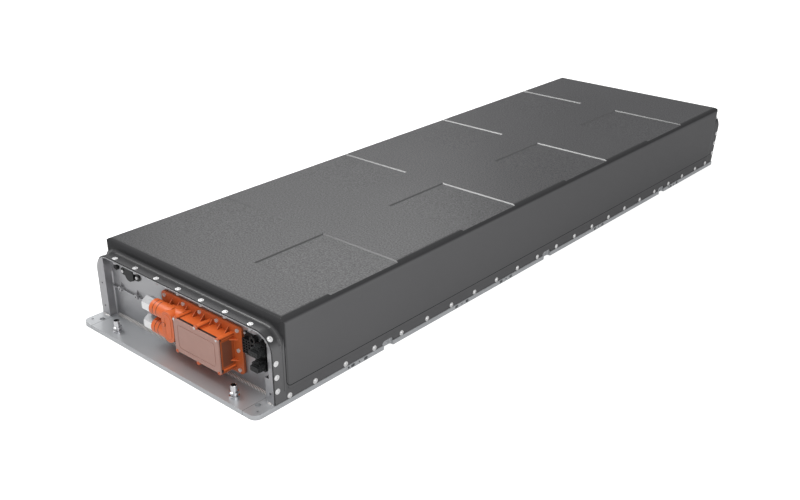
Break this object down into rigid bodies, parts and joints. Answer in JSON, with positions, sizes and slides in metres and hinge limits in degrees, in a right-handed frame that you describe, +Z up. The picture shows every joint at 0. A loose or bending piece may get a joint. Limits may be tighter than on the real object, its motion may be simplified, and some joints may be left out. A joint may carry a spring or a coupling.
{
  "type": "traction battery",
  "caption": "Long flat traction battery pack on a cooled base plate with end frames, a moulded cover, an orange terminal box, signal sockets, a vent and coolant nipples.",
  "frame": {"origin": "middle of the underside of the base plate, at the bottom centre of the bounding box", "axes": "+Z up, +Y along the pack away from the connector end, +X across the pack towards the side with the signal sockets"},
  "size_m": [0.6824, 2.2558, 0.2165],
  "materials": {
    "plate_metal": "milled, satin",
    "frame_metal": "cast and blasted, satin",
    "weld_metal": "as welded",
    "cover_skin": "textured dark grey coating",
    "seal_rubber": "matt",
    "screw_metal": "zinc plated",
    "port_metal": "nickel plated",
    "orange_plastic": "moulded, satin",
    "lid_plastic": "moulded, satin",
    "gland_plastic": "moulded, satin",
    "black_plastic": "moulded, satin",
    "grey_plastic": "moulded, satin",
    "cell_case": "blue film on the can",
    "thermal_pad": "soft gap pad",
    "copper": "bare copper",
    "white_plastic": "moulded insulator",
    "green_plastic": "moulded sensor case"
  },
  "bodies": {
    "root": {"cold_plate": "plate_metal", "channel_sheet": "plate_metal", "side_rail_left": "plate_metal", "side_rail_right": "plate_metal", "front_end_frame": "frame_metal", "rear_end_frame": "frame_metal", "top_cover": "cover_skin", "cover_seal": "seal_rubber", "cover_screws": "screw_metal", "weld_seams": "weld_metal", "coolant_port_left": "port_metal", "coolant_port_right": "port_metal", "port_seals": "seal_rubber", "hv_box_body": "orange_plastic", "hv_flange_seal": "seal_rubber", "hv_lid": "lid_plastic", "hv_lid_seal": "seal_rubber", "hv_flange_screws": "screw_metal", "hv_lid_screws": "screw_metal", "hv_terminal_cap": "orange_plastic", "hv_terminal_block": "white_plastic", "hv_studs": "screw_metal", "gland_nut_upper": "gland_plastic", "gland_nut_lower": "gland_plastic", "gland_seals": "seal_rubber", "signal_header": "black_plastic", "header_screws": "screw_metal", "signal_socket_upper": "black_plastic", "signal_socket_lower": "black_plastic", "signal_cap_upper": "grey_plastic", "signal_cap_lower": "grey_plastic", "vent_valve_body": "black_plastic", "vent_valve_disc": "grey_plastic", "vent_valve_screws": "screw_metal", "blanking_plug": "black_plastic", "cells_pack": "cell_case", "thermal_pads": "thermal_pad", "module_end_plates": "plate_metal", "module_side_plates": "plate_metal", "cell_links": "copper", "module_links": "copper", "module_lids": "grey_plastic", "module_bolts": "screw_metal", "electronics_tray": "grey_plastic", "contactors": "black_plastic", "main_fuse": "white_plastic", "current_sensor": "green_plastic", "management_unit": "plate_metal", "front_busbars": "copper", "module_busbars": "copper"}
  },
  "joints": []
}
